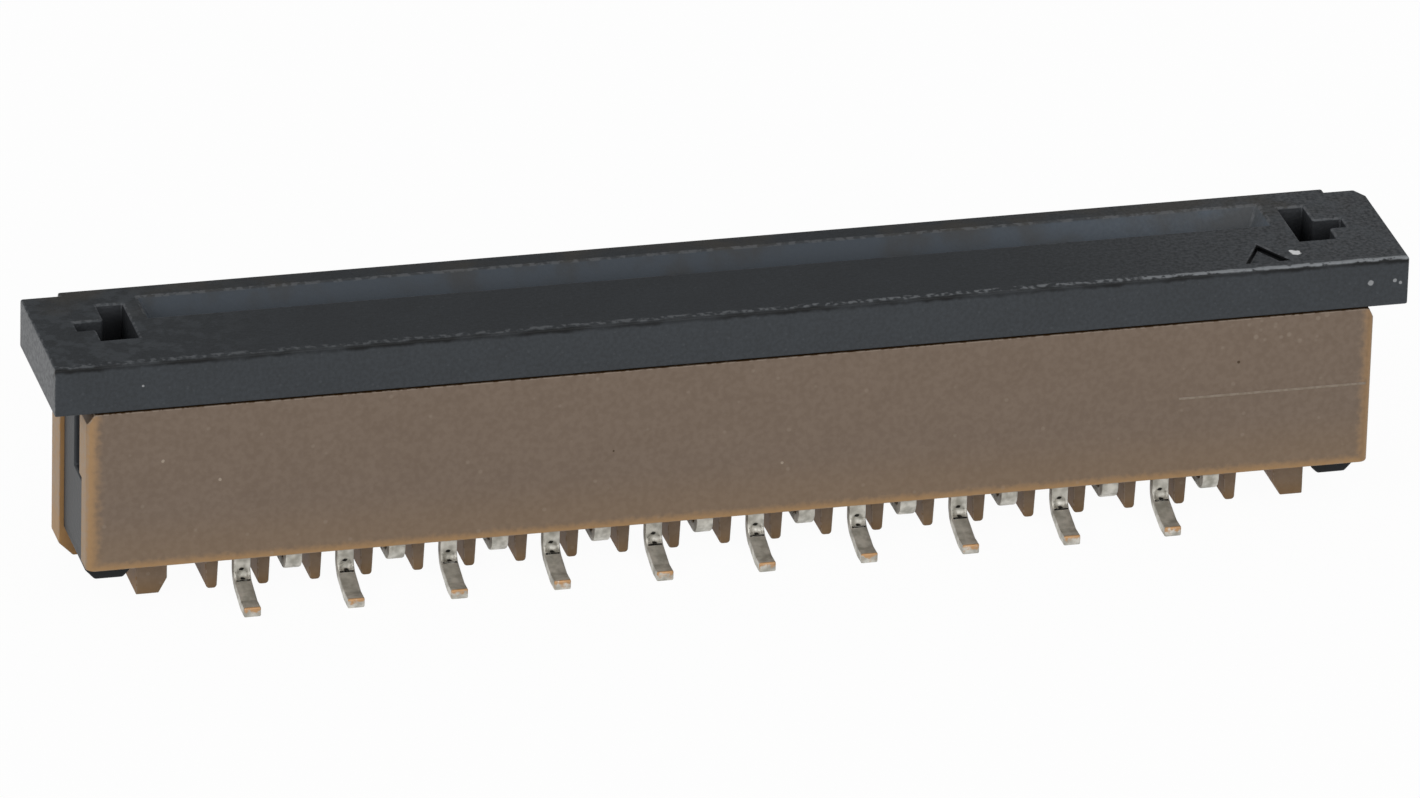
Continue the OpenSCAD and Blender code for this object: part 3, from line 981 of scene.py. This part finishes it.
@dataclass
class SoftCopy:
    """Copy of a solid whose edges are softened, as a mould or a press leaves them."""

    EDGE_NAME = "soft_edge"

    radius_mm: float = 0.03
    segments: int = 2
    sharp_deg: float = 32.0
    flat_deg: float = 0.5
    merge_mm: float = 0.0002

    def make(self, node: str, name: str) -> bpy.types.Object:
        """Copies a node, joins its loose triangles and softens its edges.

        Args:
            node: The node that the copy replaces.
            name: Name of the copy.

        Returns:
            The copy, with its softened edges marked in an attribute.
        """
        source = bpy.data.objects[node]
        piece = bpy.data.objects.new(name, source.data.copy())
        bpy.context.scene.collection.objects.link(piece)
        work_on(piece)
        bpy.ops.object.mode_set(mode="EDIT")
        bpy.ops.mesh.select_all(action="SELECT")
        bpy.ops.mesh.remove_doubles(threshold=self.merge_mm * MM)
        bpy.ops.mesh.dissolve_limited(angle_limit=math.radians(self.flat_deg))
        bpy.ops.object.mode_set(mode="OBJECT")
        self._soften(piece)
        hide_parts(node)
        return piece

    def _soften(self, piece: bpy.types.Object) -> None:
        """Bevels the sharp edges and marks the faces that this makes."""
        piece.data.materials.clear()
        for name in ("plain", "edge"):
            piece.data.materials.append(bpy.data.materials.new(name))
        for polygon in piece.data.polygons:
            polygon.material_index = 0
        bevel = piece.modifiers.new("soften", "BEVEL")
        bevel.width = self.radius_mm * MM
        bevel.segments = self.segments
        bevel.limit_method = "ANGLE"
        bevel.angle_limit = math.radians(self.sharp_deg)
        bevel.material = 1
        bevel.use_clamp_overlap = False
        bpy.ops.object.modifier_apply(modifier=bevel.name)
        bpy.ops.object.shade_smooth_by_angle(angle=math.radians(self.sharp_deg))
        marks = piece.data.attributes.new(self.EDGE_NAME, "FLOAT", "FACE")
        for polygon in piece.data.polygons:
            marks.data[polygon.index].value = float(polygon.material_index)
            polygon.material_index = 0
        spare = list(piece.data.materials)
        piece.data.materials.clear()
        for material in spare:
            bpy.data.materials.remove(material)
        flatten = piece.modifiers.new("flatten", "WEIGHTED_NORMAL")
        flatten.keep_sharp = True
        bpy.ops.object.modifier_apply(modifier=flatten.name)


@dataclass
class Housing:
    """The brown moulding: walls, comb, fins and posts, and the parting line on its front."""

    effects: EffectLibrary
    finish: HousingFinish = HousingFinish("moulded brown", "7b6c5f", 0.5, 0.15)
    line_finish: LineFinish = LineFinish("parting line", "8b7f72", 0.5, 0.15)
    soft: SoftCopy = field(default_factory=lambda: SoftCopy(radius_mm=0.022, segments=2))
    line_from_mm: float = 8.7
    line_z_mm: float = 2.58
    line_tall_mm: float = 0.05
    line_proud_mm: float = 0.008
    line_end_mm: float = 0.13

    def build(self) -> None:
        """Builds and dresses the housing."""
        low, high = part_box("housing")
        plan = WallPlan(half_length=high.x / MM, top=high.z / MM)
        material = self.finish.build(self.effects, plan)
        shell = self.soft.make("housing", "housing_moulding")
        settle(shell, material, Body.BASE)
        line = self._parting_line(low.y, plan.half_length)
        settle(line, self.line_finish.build(), Body.BASE)

    def _parting_line(self, front_y: float, half_length_mm: float) -> bpy.types.Object:
        """Raises the faint line that two mould faces leave near the right end.

        Args:
            front_y: Place of the housing's front face.
            half_length_mm: Half of the housing's length.

        Returns:
            The line, a low ridge.
        """
        end_mm = half_length_mm - self.line_end_mm
        long_mm = end_mm - self.line_from_mm
        middle = ((self.line_from_mm + end_mm) / 2 * MM, front_y, self.line_z_mm * MM)
        size = (long_mm * MM, 2 * self.line_proud_mm * MM, self.line_tall_mm * MM)
        bpy.ops.object.select_all(action="DESELECT")
        bpy.ops.mesh.primitive_cube_add(size=1.0)
        ridge = bpy.context.active_object
        ridge.name = "parting_line"
        ridge.data.transform(Matrix.Translation(middle) @ Matrix.Diagonal((*size, 1.0)))
        work_on(ridge)
        round_off = ridge.modifiers.new("round", "BEVEL")
        round_off.width = self.line_proud_mm * MM * 0.6
        round_off.segments = 2
        bpy.ops.object.modifier_apply(modifier=round_off.name)
        return ridge


@dataclass
class Slider:
    """The black moulding that locks the cable."""

    effects: EffectLibrary
    finish: SliderFinish = SliderFinish("moulded charcoal", "3c4044", 0.46, 0.2)
    soft: SoftCopy = field(default_factory=lambda: SoftCopy(radius_mm=0.045, segments=3))

    def build(self) -> None:
        """Builds and dresses the slider."""
        low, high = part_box("slider")
        material = self.finish.build(self.effects, HeadPlan(top=high.z / MM, front=low.y / MM))
        shell = self.soft.make("slider", "slider_moulding")
        settle(shell, material, Body.ACTUATOR)


@dataclass
class ContactRow:
    """The bent strips, each a piece of its own."""

    effects: EffectLibrary
    finish: TinFinish = TinFinish("tin plate", "d2cfc6", 0.46)
    soft: SoftCopy = field(default_factory=lambda: SoftCopy(radius_mm=0.03, segments=2))
    thickness_mm: float = 0.2
    front_share: float = 0.99

    def build(self, names: list[str]) -> None:
        """Dresses every contact.

        Args:
            names: The contacts' nodes.
        """
        reach_mm = max(-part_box(name)[0].y for name in names) / MM
        nearly_mm = self.front_share * reach_mm
        front = [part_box(name) for name in names if -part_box(name)[0].y > nearly_mm * MM]
        middles = sorted((low.x + high.x) / 2 / MM for low, high in front)
        row = FrontRow(middles[0], middles[1] - middles[0])
        material = self.finish.build(self.effects, reach_mm, self.thickness_mm, row)
        for name in names:
            strip = self.soft.make(name, name + "_strip")
            settle(strip, material, Body.BASE)


@dataclass(frozen=True)
class Lamp:
    """One square soft lamp: its place and side in metres, and its power in watts."""

    name: str
    place: tuple[float, float, float]
    size: float
    power: float

    def hang(self) -> None:
        """Hangs the lamp so that it faces the part."""
        light = bpy.data.lights.new(self.name, "AREA")
        light.size = self.size
        light.energy = self.power
        holder = bpy.data.objects.new(self.name, light)
        bpy.context.scene.collection.objects.link(holder)
        holder.location = self.place
        holder.rotation_euler = (-Vector(self.place)).to_track_quat("-Z", "Y").to_euler()


@dataclass
class Studio:
    """Paper floor, soft lamps, plain world and the camera."""

    yaw_deg: float = 14.951
    elevation_deg: float = 25.183
    roll_deg: float = 1.638
    distance_mm: float = 266.51
    aim_mm: tuple[float, float, float] = (-0.033, 0.229, 2.478)
    lens_mm: float = 354.75
    sensor_mm: float = 36.0
    ambient: float = 0.46
    floor_size: float = 3.0
    flag_place: tuple[float, float, float] = (0.1, 0.6, 0.42)
    flag_tilt_deg: float = 65.0
    lamps: tuple[Lamp, ...] = (
        Lamp("key lamp", (-0.7, -0.35, 0.35), 0.45, 2.3),
        Lamp("front lamp", (0.15, -0.8, 0.35), 0.5, 2.0),
    )

    def build(self) -> None:
        """Builds all of it."""
        self._world()
        self._floor()
        for lamp in self.lamps:
            lamp.hang()
        self._flag()
        self._camera()

    def _world(self) -> None:
        """Makes a white world that lights the part at a plain level."""
        world = bpy.data.worlds.new("plain white")
        bpy.context.scene.world = world
        world.use_nodes = True
        board = Board(world.node_tree)
        strength = board.math("MULTIPLY_ADD", board.seen(), 1.0 - self.ambient, self.ambient)
        background = world.node_tree.nodes["Background"]
        background.inputs["Color"].default_value = (1.0, 1.0, 1.0, 1.0)
        board.feed(background.inputs["Strength"], strength)

    def _floor(self) -> None:
        """Lays white paper under the part."""
        bpy.ops.object.select_all(action="DESELECT")
        bpy.ops.mesh.primitive_plane_add(size=self.floor_size)
        floor = bpy.context.active_object
        floor.name = "paper"
        floor.data.materials.append(PaperFinish("white paper", "f4f4f4", 0.9).build())

    def _flag(self) -> None:
        """Stands a black flag behind the part, which only its gloss mirrors."""
        bpy.ops.object.select_all(action="DESELECT")
        bpy.ops.mesh.primitive_plane_add(size=1.0)
        flag = bpy.context.active_object
        flag.name = "flag"
        tilt = Matrix.Rotation(math.radians(self.flag_tilt_deg), 4, "X")
        flag.data.transform(Matrix.Translation(self.flag_place) @ tilt)
        flag.visible_camera = False
        flag.visible_diffuse = False
        flag.visible_shadow = False
        flag.data.materials.append(Finish("black felt", "101010", 1.0).start()[0])

    def _camera(self) -> None:
        """Sets the camera above the front left, slightly rolled."""
        yaw, rise, roll = (math.radians(a) for a in (self.yaw_deg, self.elevation_deg, self.roll_deg))
        back = Vector(
            (-math.sin(yaw) * math.cos(rise), -math.cos(yaw) * math.cos(rise), math.sin(rise))
        )
        level = Vector((math.cos(yaw), -math.sin(yaw), 0.0))
        upright = back.cross(level)
        right = math.cos(roll) * level + math.sin(roll) * upright
        up = back.cross(right)
        data = bpy.data.cameras.new("camera")
        data.lens = self.lens_mm
        data.sensor_width = self.sensor_mm
        data.sensor_fit = "HORIZONTAL"
        data.clip_start = 0.01
        data.clip_end = 10.0
        camera = bpy.data.objects.new("camera", data)
        bpy.context.scene.collection.objects.link(camera)
        axes = Matrix((right, up, back)).transposed().to_4x4()
        place = (Vector(self.aim_mm) + self.distance_mm * back) * MM
        camera.matrix_world = Matrix.Translation(place) @ axes
        bpy.context.scene.camera = camera


def main() -> None:
    """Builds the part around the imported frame."""
    logging.basicConfig(level=logging.INFO, format="%(name)s: %(message)s")
    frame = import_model()
    scene = bpy.context.scene
    scene.view_settings.view_transform = "Standard"
    effects = EffectLibrary()
    Housing(effects).build()
    Slider(effects).build()
    ContactRow(effects).build(sorted(n for n in frame["nodes"] if n.startswith("contact_")))
    Studio().build()


if __name__ == "__main__":
    main()
